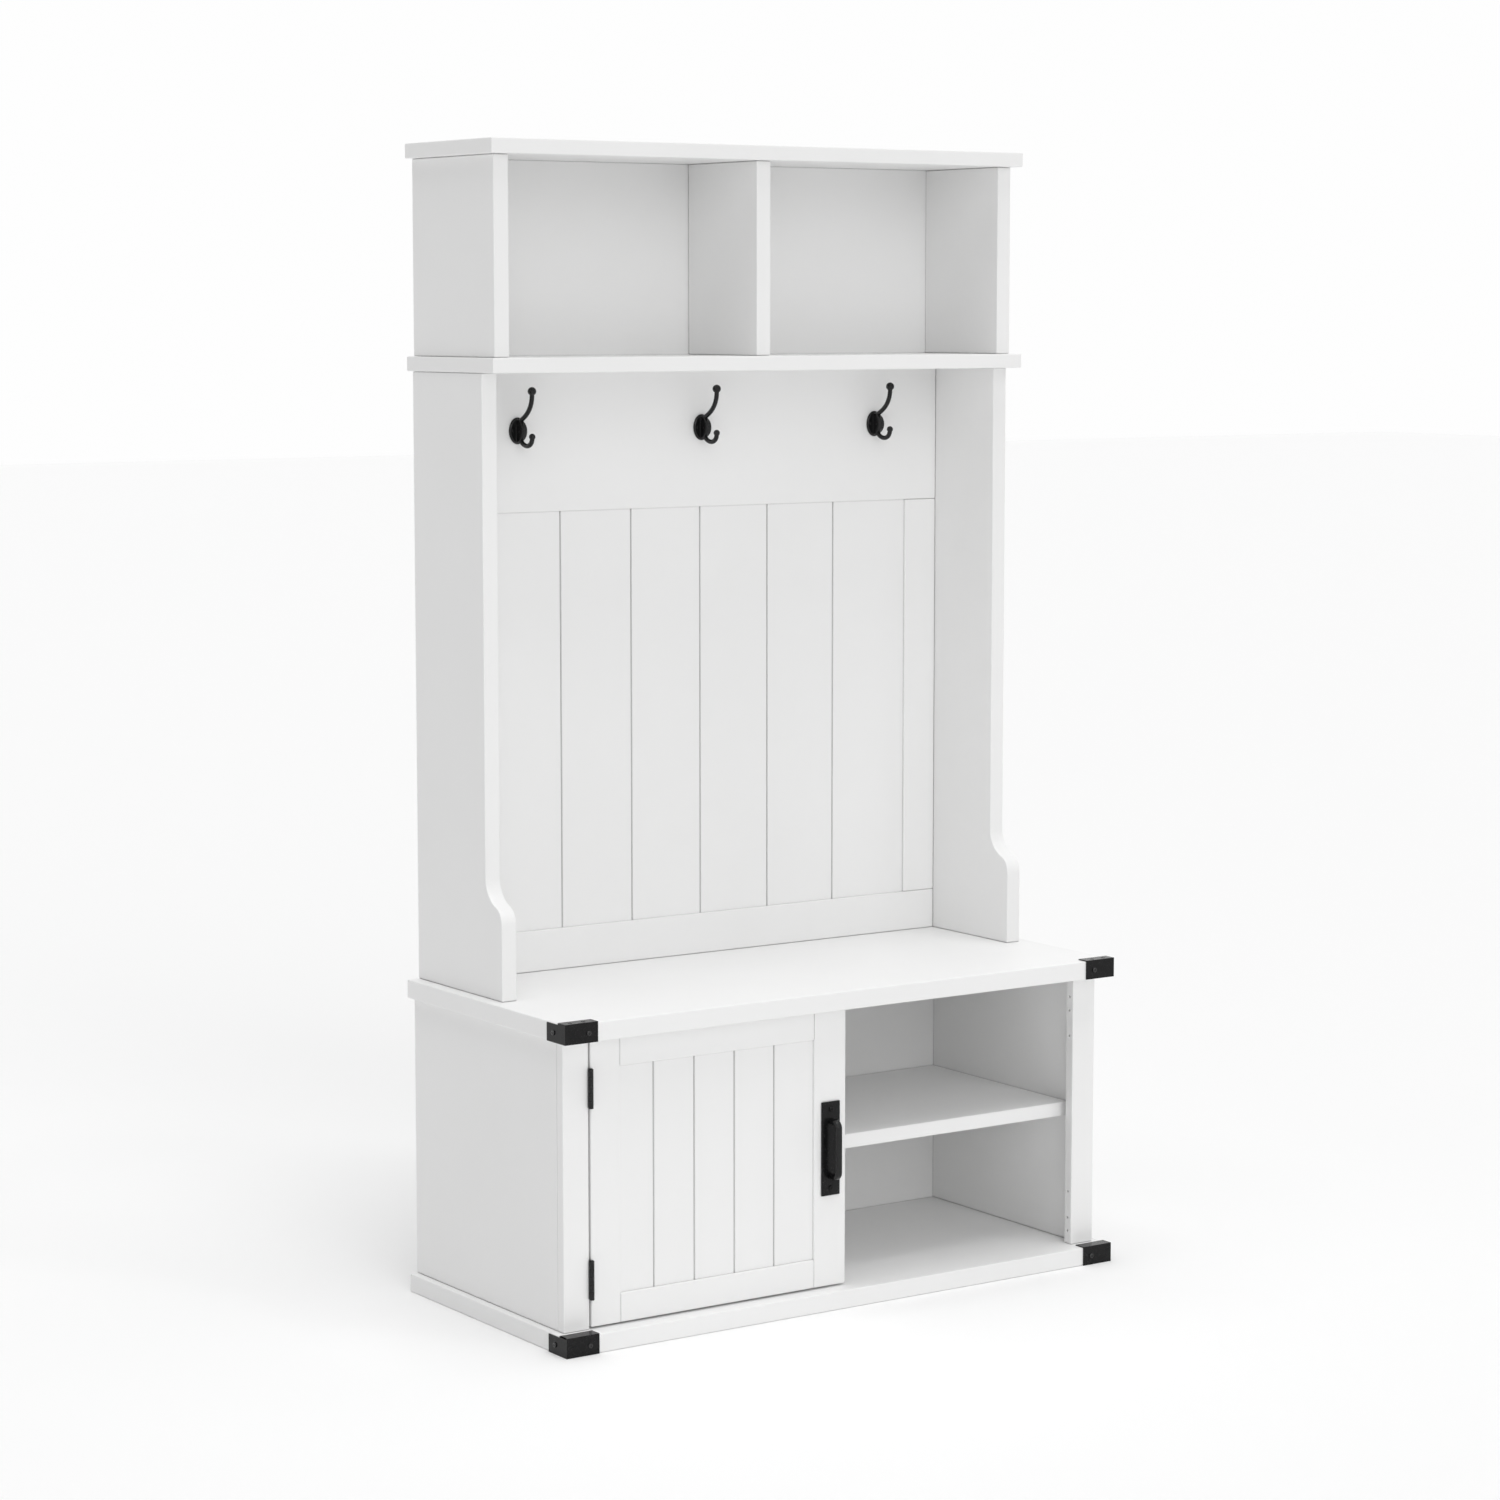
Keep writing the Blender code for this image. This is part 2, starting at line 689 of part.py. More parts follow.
def hook_fin():
    """The half-round rib that stands out from the rose."""
    outline = [(0, -fin_root, -fin_half_height)]
    for step in range(1, arc_steps):
        angle = math.radians(-90 + 180 * step / arc_steps)
        outline.append((0, -fin_reach * math.cos(angle), fin_half_height * math.sin(angle)))
    outline.append((0, -fin_root, fin_half_height))
    return prism_mesh("hook_fin", outline, (fin_thickness, 0, 0))


def hook_ball(radius, height):
    bm = bmesh.new()
    bmesh.ops.create_uvsphere(bm, u_segments=screw_sides, v_segments=arc_steps, radius=radius)
    bmesh.ops.translate(bm, vec=(0, -hook_reach, height), verts=bm.verts)
    return finish_mesh("hook_ball", bm)


def build_hooks():
    upper = bezier(upper_arm_start, *upper_arm_bends, (hook_reach, upper_ball_rise), arc_steps + 4)
    lower = bezier(lower_arm_start, *lower_arm_bends, (hook_reach, -lower_ball_drop), arc_steps + 4)
    section = circle_section(arm_radius, screw_sides)
    pieces = [hook_fin()]
    pieces += [swept_mesh("hook_arm", path, section) for path in (upper, lower)]
    pieces.append(hook_ball(upper_ball_radius, upper_ball_rise + upper_ball_lift))
    pieces.append(hook_ball(lower_ball_radius, lower_ball_lift - lower_ball_drop))
    mesh = combined("coat_hook", hook_rose(), pieces)
    face = depth_y(hutch_back_depth + joint_gap)
    for place, column in (("left", -1), ("middle", 0), ("right", 1)):
        name = "coat_hook_" + place
        make_object(name, mesh.copy(), (column * hook_pitch, face, hook_height), black_metal, True)


def placed_box(name, low, high):
    """A box mesh between two opposite corners."""
    low, high = Vector(low), Vector(high)
    mesh = box_mesh(name, high - low)
    mesh.transform(Matrix.Translation((low + high) / 2))
    return mesh


def bracket_mesh(name, sign, height):
    """Front leg, a flange bent over the board and a side leg that stops below the board's top."""
    thick = bracket_thickness
    beyond = cutter_margin
    front, side = bracket_front_leg, bracket_side_leg
    block = placed_box(name, (-front, 0, 0), (0, side, height))
    hollow = placed_box(
        name + "_hollow",
        (-front - beyond, thick, -beyond),
        (-thick, side + beyond, height - thick),
    )
    window = placed_box(
        name + "_window",
        (-front - beyond, bracket_flange, height - 2 * thick),
        (beyond, side + beyond, height + beyond),
    )
    mesh = combined(name, block, [hollow, window], "DIFFERENCE")
    if sign < 0:
        mesh.transform(Matrix.Diagonal((-1, 1, 1, 1)))
        mesh.flip_normals()
    return mesh


def build_brackets(base, bench):
    reach = bracket_thickness + joint_gap
    for level, board, bottom in (("base", base, 0.0), ("bench", bench, case_roof)):
        thickness = base_thickness if level == "base" else bench_thickness
        height = thickness + reach
        for side, sign in (("left", -1), ("right", 1)):
            name = f"bracket_{level}_{side}"
            corner = Vector((sign * (bench_width / 2 + reach), depth_y(bench_depth + reach), bottom))
            bracket = make_object(name, bracket_mesh(name, sign, height), corner, black_metal)
            middle = bottom + thickness / 2
            seat = (corner.x - sign * front_screw_inset, corner.y, middle)
            pan_screw(f"{name}_front_screw", seat, (0, -1, 0), (bracket, board), black_metal)
            seat = (corner.x, corner.y + side_screw_inset, middle)
            pan_screw(f"{name}_side_screw", seat, (sign, 0, 0), (bracket, board), black_metal)


clear_scene()
white_paint = make_material("white_paint", (0.86, 0.86, 0.85), 0.42, 0.0)
black_metal = make_material("black_metal", (0.022, 0.022, 0.023), 0.45, 0.6)
dark_plastic = make_material("dark_plastic", (0.05, 0.05, 0.05), 0.55, 0.0)
bright_steel = make_material("bright_steel", (0.62, 0.62, 0.60), 0.30, 1.0)

door_pivot = bpy.data.objects.new("door_pivot", None)
door_pivot.location = (hinge_x, depth_y(hinge_depth), door_bottom)
bpy.context.scene.collection.objects.link(door_pivot)

base_piece, bench_piece = build_lower_case()
cut_pilot_holes()
build_hutch()
build_cubbies()
build_door(door_pivot)
build_hinges(door_pivot)
build_catch(door_pivot)
build_hooks()
build_brackets(base_piece, bench_piece)
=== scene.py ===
import math

import bmesh
import bpy
from mathutils import Matrix, Vector


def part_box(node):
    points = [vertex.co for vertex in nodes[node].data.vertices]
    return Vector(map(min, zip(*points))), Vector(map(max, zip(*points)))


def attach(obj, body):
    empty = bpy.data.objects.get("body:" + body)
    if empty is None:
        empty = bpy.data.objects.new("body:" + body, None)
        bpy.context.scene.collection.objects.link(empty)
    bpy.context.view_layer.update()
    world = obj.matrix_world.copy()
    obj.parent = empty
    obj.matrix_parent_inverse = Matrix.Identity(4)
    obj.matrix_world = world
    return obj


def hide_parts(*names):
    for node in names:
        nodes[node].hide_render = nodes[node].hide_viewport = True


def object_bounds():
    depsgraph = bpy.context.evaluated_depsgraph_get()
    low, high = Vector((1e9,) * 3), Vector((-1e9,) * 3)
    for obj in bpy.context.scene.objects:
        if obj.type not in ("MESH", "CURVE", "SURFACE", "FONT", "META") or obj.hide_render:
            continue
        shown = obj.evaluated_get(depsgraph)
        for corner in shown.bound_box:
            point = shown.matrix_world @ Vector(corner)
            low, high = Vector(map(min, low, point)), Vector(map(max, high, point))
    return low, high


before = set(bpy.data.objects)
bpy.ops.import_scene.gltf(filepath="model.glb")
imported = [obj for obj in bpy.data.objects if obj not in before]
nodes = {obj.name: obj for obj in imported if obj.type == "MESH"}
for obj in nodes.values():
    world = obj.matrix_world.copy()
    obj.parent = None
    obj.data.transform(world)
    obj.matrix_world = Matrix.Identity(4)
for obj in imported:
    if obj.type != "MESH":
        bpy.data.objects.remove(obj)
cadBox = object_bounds()
print("frame loaded,", len(nodes), "nodes")

yAxis = Vector((0, 1, 0))
zAxis = Vector((0, 0, 1))
mm = 0.001


# working in object and edit mode

def deselectAll():
    if bpy.context.mode != "OBJECT":
        bpy.ops.object.mode_set(mode="OBJECT")
    bpy.ops.object.select_all(action="DESELECT")


def makeActive(obj):
    deselectAll()
    obj.select_set(True)
    bpy.context.view_layer.objects.active = obj


def startEdit(obj, mode="FACE"):
    makeActive(obj)
    bpy.ops.object.mode_set(mode="EDIT")
    bpy.ops.mesh.select_mode(type=mode)
    bpy.ops.mesh.select_all(action="DESELECT")


def endEdit():
    bpy.ops.object.mode_set(mode="OBJECT")


def pickFaces(obj, wanted):
    # wanted gets each face and says whether it is selected
    mesh = bmesh.from_edit_mesh(obj.data)
    for face in mesh.faces:
        face.select_set(bool(wanted(face)))
    bmesh.update_edit_mesh(obj.data)


def applyPlace(obj):
    makeActive(obj)
    bpy.ops.object.transform_apply(location=True, rotation=True, scale=True)


def applyModifiers(obj):
    makeActive(obj)
    for modifier in list(obj.modifiers):
        bpy.ops.object.modifier_apply(modifier=modifier.name)


def addBevel(obj, width, segments=3, angle=30):
    bevel = obj.modifiers.new("softEdges", "BEVEL")
    bevel.width = width
    bevel.segments = segments
    bevel.limit_method = "ANGLE"
    bevel.angle_limit = math.radians(angle)


def combine(obj, others, operation):
    # joins the others on, or cuts them away, and removes them
    for other in others:
        boolean = obj.modifiers.new("shape", "BOOLEAN")
        boolean.operation = operation
        boolean.object = other
    applyModifiers(obj)
    for other in others:
        bpy.data.objects.remove(other)


def smoothByAngle(obj, angle=35):
    makeActive(obj)
    bpy.ops.object.shade_smooth_by_angle(angle=math.radians(angle))


def joinAll(objs):
    makeActive(objs[0])
    for obj in objs[1:]:
        obj.select_set(True)
    bpy.ops.object.join()
    return objs[0]


def copyPiece(source, name, matrix):
    obj = source.copy()
    obj.data = source.data.copy()
    obj.name = name
    obj.data.name = name
    obj.data.transform(matrix)
    bpy.context.scene.collection.objects.link(obj)
    return obj


def addCube(low, high):
    low, high = Vector(low), Vector(high)
    bpy.ops.mesh.primitive_cube_add(size=1, location=(low + high) / 2, scale=high - low)
    obj = bpy.context.active_object
    applyPlace(obj)
    return obj


def middleOf(box):
    return (box[0] + box[1]) / 2


def finishPiece(obj, name, body, material, replaced=()):
    obj.name = name
    obj.data.name = name
    obj.data.materials.clear()
    obj.data.materials.append(material)
    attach(obj, body)
    for node in replaced:
        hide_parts(node)
    return obj


# materials

def startMaterial(name):
    material = bpy.data.materials.new(name)
    material.use_nodes = True
    tree = material.node_tree
    return material, tree, tree.nodes["Principled BSDF"]


def objectPattern(tree, scale, place=(0, 0, 0)):
    # object coordinates, stretched and shifted for one pattern
    coordinates = tree.nodes.new("ShaderNodeTexCoord")
    mapping = tree.nodes.new("ShaderNodeMapping")
    mapping.inputs["Scale"].default_value = scale
    mapping.inputs["Location"].default_value = place
    tree.links.new(coordinates.outputs["Object"], mapping.inputs["Vector"])
    return mapping.outputs["Vector"]


def addNoise(tree, vector, scale, detail=3.0, roughness=0.5):
    noise = tree.nodes.new("ShaderNodeTexNoise")
    noise.inputs["Scale"].default_value = scale
    noise.inputs["Detail"].default_value = detail
    noise.inputs["Roughness"].default_value = roughness
    tree.links.new(vector, noise.inputs["Vector"])
    return noise.outputs["Fac"]


def addRange(tree, value, low, high, fromLow=0.3, fromHigh=0.7):
    node = tree.nodes.new("ShaderNodeMapRange")
    node.inputs["From Min"].default_value = fromLow
    node.inputs["From Max"].default_value = fromHigh
    node.inputs["To Min"].default_value = low
    node.inputs["To Max"].default_value = high
    tree.links.new(value, node.inputs["Value"])
    return node.outputs["Result"]


def addColourMix(tree, value, first, second):
    mix = tree.nodes.new("ShaderNodeMix")
    mix.data_type = "RGBA"
    mix.inputs["A"].default_value = (*first, 1)
    mix.inputs["B"].default_value = (*second, 1)
    tree.links.new(value, mix.inputs["Factor"])
    return mix.outputs["Result"]


def addBump(tree, shader, layers):
    # each layer is (height, metres of relief, strength), laid over the last
    normal = None
    for height, relief, strength in layers:
        bump = tree.nodes.new("ShaderNodeBump")
        bump.inputs["Distance"].default_value = relief
        bump.inputs["Strength"].default_value = strength
        tree.links.new(height, bump.inputs["Height"])
        if normal:
            tree.links.new(normal, bump.inputs["Normal"])
        normal = bump.outputs["Normal"]
    tree.links.new(normal, shader.inputs["Normal"])


paint = {
    "light": (0.905, 0.905, 0.903),
    "dull": (0.884, 0.884, 0.881),
    "cloud": 3.5,         # soft drift in tone, per metre
    "along": 4.0,         # roller lines: long one way, fine across
    "across": 420.0,
    "peel": 1500.0,       # orange peel
    "peelRelief": 0.03 * mm,
    "lineRelief": 0.012 * mm,
    "rough": (0.36, 0.50),
    "paintedShadeLeft": 0.76,      # how much tone the painted shade leaves deep in a groove or joint
    "paintedShadeReach": 3 * mm,
}


def addPaintedCreviceShade(tree, colour):
    # painted shade: an ambient occlusion node darkens the paint's colour in V grooves and tight joints
    occlusionShade = tree.nodes.new("ShaderNodeAmbientOcclusion")
    occlusionShade.samples = 8
    occlusionShade.inputs["Distance"].default_value = paint["paintedShadeReach"]
    share = addRange(tree, occlusionShade.outputs["AO"], paint["paintedShadeLeft"], 1.0, 0.35, 0.85)
    shade = tree.nodes.new("ShaderNodeVectorMath")
    shade.operation = "SCALE"
    tree.links.new(colour, shade.inputs[0])
    tree.links.new(share, shade.inputs["Scale"])
    return shade.outputs["Vector"]


def makePaint(name, alongAxis):
    # satin lacquer on a board whose roller lines run along one axis
    material, tree, shader = startMaterial(name)
    scale = [paint["across"]] * 3
    scale["xyz".index(alongAxis)] = paint["along"]
    plain = objectPattern(tree, (1, 1, 1), (0.31, 0.17, 0.05))
    lines = addNoise(tree, objectPattern(tree, scale), 1.0, 2.0)
    cloud = addNoise(tree, plain, paint["cloud"], 4.0)
    peel = addNoise(tree, plain, paint["peel"], 2.0)
    tone = addRange(tree, cloud, 0.0, 1.0)
    body = addColourMix(tree, tone, paint["dull"], paint["light"])
    # the base colour carries painted shade in the crevices
    tree.links.new(addPaintedCreviceShade(tree, body), shader.inputs["Base Color"])
    tree.links.new(addRange(tree, lines, *paint["rough"]), shader.inputs["Roughness"])
    shader.inputs["Specular IOR Level"].default_value = 0.4
    addBump(tree, shader, [(peel, paint["peelRelief"], 0.5), (lines, paint["lineRelief"], 0.35)])
    return material


# flat sheet has the plain coat, cast and bent pieces a glossier one
coats = {
    "sheet": {"rough": (0.20, 0.28), "gloss": 0.20, "grainRelief": 0.012 * mm},
    "cast": {"rough": (0.18, 0.27), "gloss": 0.32, "grainRelief": 0.05 * mm},
    "deep": (0.0035, 0.0035, 0.0037),
    "pale": (0.0080, 0.0080, 0.0083),
    "mottle": 160.0,
    "grain": 3200.0,       # the coat's fine texture
    "flow": 500.0,
    "flowRelief": 0.02 * mm,
}


def makePowderCoat(name, kind):
    material, tree, shader = startMaterial(name)
    plain = objectPattern(tree, (1, 1, 1), (0.07, 0.13, 0.02))
    mottle = addNoise(tree, plain, coats["mottle"], 3.0)
    grain = addNoise(tree, plain, coats["grain"], 2.0)
    flow = addNoise(tree, plain, coats["flow"], 1.0)
    tone = addRange(tree, mottle, 0.0, 1.0)
    tree.links.new(addColourMix(tree, tone, coats["deep"], coats["pale"]), shader.inputs["Base Color"])
    tree.links.new(addRange(tree, grain, *coats[kind]["rough"]), shader.inputs["Roughness"])
    shader.inputs["Specular IOR Level"].default_value = coats[kind]["gloss"]
    addBump(tree, shader, [(flow, coats["flowRelief"], 0.4), (grain, coats[kind]["grainRelief"], 0.35)])
    return material


screwFinish = {
    "deep": (0.004, 0.004, 0.004),
    "pale": (0.010, 0.010, 0.011),
    "turning": 2600.0,
    "rough": (0.14, 0.22),
    "gloss": 0.6,
}


def makeScrewBlack(name):
    # blackened steel, shinier than the powder coat round it
    material, tree, shader = startMaterial(name)
    turning = addNoise(tree, objectPattern(tree, (1, 1, 1)), screwFinish["turning"], 2.0)
    tone = addRange(tree, turning, 0.0, 1.0)
    colour = addColourMix(tree, tone, screwFinish["deep"], screwFinish["pale"])
    tree.links.new(colour, shader.inputs["Base Color"])
    tree.links.new(addRange(tree, turning, *screwFinish["rough"]), shader.inputs["Roughness"])
    shader.inputs["Specular IOR Level"].default_value = screwFinish["gloss"]
    addBump(tree, shader, [(turning, 0.01 * mm, 0.3)])
    return material


plastic = {"deep": (0.035, 0.035, 0.036), "pale": (0.055, 0.055, 0.056), "grain": 1400.0, "rough": (0.45, 0.6)}


def makePlastic(name):
    material, tree, shader = startMaterial(name)
    plain = objectPattern(tree, (1, 1, 1))
    grain = addNoise(tree, plain, plastic["grain"], 2.0)
    tone = addRange(tree, grain, 0.0, 1.0)
    tree.links.new(addColourMix(tree, tone, plastic["deep"], plastic["pale"]), shader.inputs["Base Color"])
    tree.links.new(addRange(tree, grain, *plastic["rough"]), shader.inputs["Roughness"])
    addBump(tree, shader, [(grain, 0.04 * mm, 0.4)])
    return material


zinc = {"dull": (0.50, 0.50, 0.49), "bright": (0.66, 0.66, 0.65), "brush": (900, 900, 30), "rough": (0.26, 0.42)}


def makeZinc(name):
    material, tree, shader = startMaterial(name)
    brush = addNoise(tree, objectPattern(tree, zinc["brush"]), 1.0, 2.0)
    tone = addRange(tree, brush, 0.0, 1.0)
    tree.links.new(addColourMix(tree, tone, zinc["dull"], zinc["bright"]), shader.inputs["Base Color"])
    tree.links.new(addRange(tree, brush, *zinc["rough"]), shader.inputs["Roughness"])
    shader.inputs["Metallic"].default_value = 1.0
    addBump(tree, shader, [(brush, 0.01 * mm, 0.3)])
    return material


paintAlong = {axis: makePaint("whitePaintAlong" + axis.upper(), axis) for axis in "xz"}
sheetBlack = makePowderCoat("blackPowderCoatOnSheet", "sheet")
castBlack = makePowderCoat("blackPowderCoatOnCasting", "cast")
screwBlack = makeScrewBlack("blackenedSteel")
darkPlastic = makePlastic("darkPlastic")
zincPlate = makeZinc("zincPlate")

lyingBoards = [
    "base_board", "bench_top", "open_bay_shelf", "door_bay_shelf", "cubby_shelf_board", "top_board",
    "hook_rail", "hutch_lower_rail", "door_rail_top", "door_rail_bottom",
]


def finishNode(name, material):
    data = nodes[name].data
    data.materials.clear()
    data.materials.append(material)


for nodeName in nodes:
    if nodeName in lyingBoards:
        finishNode(nodeName, paintAlong["x"])
    elif nodeName == "catch_magnet":
        finishNode(nodeName, darkPlastic)
    elif nodeName == "catch_strike":
        finishNode(nodeName, zincPlate)
    elif nodeName.startswith("bracket"):
        finishNode(nodeName, sheetBlack)
    elif nodeName.startswith(("handle", "hinge", "coat_hook")):
        finishNode(nodeName, castBlack)
    else:
        finishNode(nodeName, paintAlong["z"])
print("paint, powder coat, plastic and zinc made")


# screws: one cross-head screw, copied to each place

screw = {
    "domeShare": 0.86,     # of the CAD head's height, so the rim stays round
    "recessWide": 0.75 * mm,
    "recessShare": 0.5,    # of the head's height
    "sides": 48,
}


def makeScrewHead(radius, height, crossReach):
    # a domed head standing on z = 0 with a cross cut in it
    bpy.ops.mesh.primitive_cylinder_add(
        vertices=screw["sides"], radius=radius, depth=height, location=(0, 0, height / 2)
    )
    head = bpy.context.active_object
    applyPlace(head)
    startEdit(head)
    pickFaces(head, lambda face: face.normal.z > 0.9)
    bpy.ops.mesh.bevel(offset=height * screw["domeShare"], segments=5, profile=0.62, affect="EDGES")
    endEdit()
    cutters = []
    for along in (0, 1):
        half = [screw["recessWide"] / 2, crossReach]
        x, y = half[along], half[1 - along]
        cutter = addCube((-x, -y, height * (1 - screw["recessShare"])), (x, y, height + mm))
        cutters.append(cutter)
    combine(head, cutters, "DIFFERENCE")
    smoothByAngle(head, 30)
    return head


def turnTo(outward):
    return zAxis.rotation_difference(Vector(outward)).to_matrix().to_4x4()


def placeHead(source, name, seat, outward, body, replaced=(), material=screwBlack):
    matrix = Matrix.Translation(seat) @ turnTo(outward)
    obj = copyPiece(source, name, matrix)
    return finishPiece(obj, name, body, material, replaced)


screwHead = makeScrewHead(3.8 * mm, 1.8 * mm, 2.1 * mm)
screwSides = {"front_screw": (0, -1, 0), "left": (-1, 0, 0), "right": (1, 0, 0)}
for level in ("base", "bench"):
    for side in ("left", "right"):
        for leg in ("front_screw", "side_screw"):
            nodeName = f"bracket_{level}_{side}_{leg}"
            low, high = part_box(nodeName)
            out = Vector(screwSides[leg if leg == "front_screw" else side])
            middle = middleOf((low, high))
            reach = (high - low).dot(Vector(map(abs, out))) / 2
            seat = middle + out * (reach - 1.8 * mm)
            placeHead(screwHead, f"{level}{side.title()}{leg.title().replace('_', '')}", seat, out, "case", [nodeName])
for end in ("lower", "upper"):
    nodeName = "handle_screw_" + end
    low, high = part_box(nodeName)
    middle = middleOf((low, high))
    seat = Vector((middle.x, low.y + 1.8 * mm, middle.z))
    placeHead(screwHead, "pullScrew" + end.title(), seat, -yAxis, "door", [nodeName], sheetBlack)
print("screws done")


# corner brackets

bracket = {
    "thick": 1.5 * mm,
    "flange": 20 * mm,
    "corner": 0.55 * mm,      # rounding of the folded edges
    "flangeScrews": (0.26, 0.66),   # along the front leg, as shares of its length from the corner
}


def makeBracket(level, side):
    # front leg, side leg and top flange of sheet steel, folded at the corner
    node = f"bracket_{level}_{side}"
    low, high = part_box(node)
    thick = bracket["thick"]
    sign = -1 if side == "left" else 1
    outer = low.x if sign < 0 else high.x
    inner = high.x if sign < 0 else low.x
    front = addCube((low.x, low.y, low.z), (high.x, low.y + thick, high.z))
    xs = sorted((outer, outer - sign * thick))
    flangeBack = low.y + bracket["flange"]
    corner = addCube((xs[0], low.y, low.z), (xs[1], flangeBack, high.z))
    # behind the flange the side leg stops just below the board's top
    leg = addCube((xs[0], low.y, low.z), (xs[1], high.y, high.z - 2 * thick))
    flange = addCube((low.x, low.y, high.z - thick), (high.x, flangeBack, high.z))
    combine(front, [corner, leg, flange], "UNION")
    front.modifiers.new("weld", "WELD").merge_threshold = 0.01 * mm
    addBevel(front, bracket["corner"], 3, 40)
    applyModifiers(front)
    smoothByAngle(front)
    finishPiece(front, f"{level}{side.title()}Bracket", "case", sheetBlack, [node])
    if level == "bench":
        for index, share in enumerate(bracket["flangeScrews"]):
            seat = (outer + (inner - outer) * share, low.y + bracket["flange"] / 2, high.z - 1.2 * mm)
            placeHead(screwHead, f"{level}{side.title()}FlangeScrew{index}", seat, zAxis, "case")


for level in ("base", "bench"):
    for side in ("left", "right"):
        makeBracket(level, side)
print("corner brackets done")


# pull on the door

pull = {"plateEdge": 1.2 * mm, "barThick": 8 * mm, "gripRound": 2.8 * mm, "cornerRadius": 9 * mm}


def makePullPlate():
    low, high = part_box("handle_plate")
    plate = addCube(low, high)
    addBevel(plate, pull["plateEdge"], 4)
    applyModifiers(plate)
    smoothByAngle(plate)
    finishPiece(plate, "pullPlate", "door", sheetBlack, ["handle_plate"])


def makePullGrip():
    # a rounded bar section run out of the plate, round a bend, along, and back in
    low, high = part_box("handle_grip")
    width = high.x - low.x
    middle = middleOf((low, high))
    thick = pull["barThick"]
    bpy.ops.mesh.primitive_plane_add(
        size=thick, location=(middle.x, high.y, high.z - thick / 2), rotation=(math.pi / 2, 0, 0)
    )
    grip = bpy.context.active_object
    applyPlace(grip)
    startEdit(grip, "VERT")
    bpy.ops.mesh.select_all(action="SELECT")
    bpy.ops.transform.resize(value=(width / thick, 1, 1))
    bpy.ops.mesh.bevel(offset=pull["gripRound"], segments=6, affect="VERTICES")
    bpy.ops.mesh.select_mode(type="FACE")
    bpy.ops.mesh.select_all(action="SELECT")
    straight = (high.y - low.y) - thick / 2 - pull["cornerRadius"]
    bendY = high.y - straight
    bpy.ops.mesh.extrude_region_move(TRANSFORM_OT_translate={"value": (0, -straight, 0)})
    centre = (middle.x, bendY, high.z - thick / 2 - pull["cornerRadius"])
    bpy.ops.mesh.spin(steps=14, angle=-math.pi / 2, center=centre, axis=(1, 0, 0))
    run = (high.z - low.z) - thick - 2 * pull["cornerRadius"]
    bpy.ops.mesh.extrude_region_move(TRANSFORM_OT_translate={"value": (0, 0, -run)})
    centre = (middle.x, bendY, low.z + thick / 2 + pull["cornerRadius"])
    bpy.ops.mesh.spin(steps=14, angle=-math.pi / 2, center=centre, axis=(1, 0, 0))
    bpy.ops.mesh.extrude_region_move(TRANSFORM_OT_translate={"value": (0, straight, 0)})
    bpy.ops.mesh.select_all(action="SELECT")
    bpy.ops.mesh.remove_doubles(threshold=0.01 * mm)
    bpy.ops.mesh.normals_make_consistent(inside=False)
    endEdit()
    smoothByAngle(grip, 40)
    finishPiece(grip, "pullGrip", "door", castBlack, ["handle_grip"])


makePullPlate()
makePullGrip()
print("pull done")


# coat hooks: cast in one piece, so its joints are filled and smoothed over

hook = {
    "roseHigh": 20 * mm,       # half height and half width of the oval rose
    "roseWide": 14.8 * mm,
    "roseThick": 3 * mm,
    "roseRim": 1.7 * mm,
    "roseStep": 2.8 * mm,
    "ribReach": 23.5 * mm,
    "ribHalf": 17.2 * mm,
    "ribThick": 7 * mm,
    "armRadius": 3.6 * mm,
    "reach": 43.2 * mm,
    # start, two handles and end of each arm: forward and up from the rose's middle, in millimetres
    "upperArm": ((5, 13.5), (27, 22), (44.3, 34), (43.2, 57.6)),
    "lowerArm": ((8, -10.5), (15, -25.5), (42.5, -26.5), (43.2, -9.5)),
    "upperBall": (6.5 * mm, 59.7 * mm),      # radius, height
    "lowerBall": (4.9 * mm, -7.9 * mm),
    "dimple": (11.5 * mm, 1.0 * mm, 1.7 * mm),  # forward, down, radius of the dent in each side of the rib
    "screwOut": 8.2 * mm,      # from the middle to each rose screw
    "screwRadius": 2.5 * mm,
    "screwHeight": 0.9 * mm,
    "voxel": 0.42 * mm,
    "smoothing": 3,
}


def makeRose():
    # an upright oval plate with a sloping rim
    bpy.ops.mesh.primitive_cylinder_add(
        vertices=72, radius=hook["roseHigh"], depth=hook["roseRim"],
        location=(0, -hook["roseRim"] / 2, 0), rotation=(math.pi / 2, 0, 0)
    )
    rose = bpy.context.active_object
    applyPlace(rose)
    startEdit(rose)
    pickFaces(rose, lambda face: face.normal.y < -0.9)
    step = hook["roseThick"] - hook["roseRim"]
    bpy.ops.mesh.extrude_region_move(TRANSFORM_OT_translate={"value": (0, -step, 0)})
    share = 1 - hook["roseStep"] / hook["roseHigh"]
    bpy.ops.transform.resize(value=(share, 1, share))
    bpy.ops.mesh.select_all(action="SELECT")
    bpy.ops.transform.resize(value=(hook["roseWide"] / hook["roseHigh"], 1, 1))
    endEdit()
    return rose


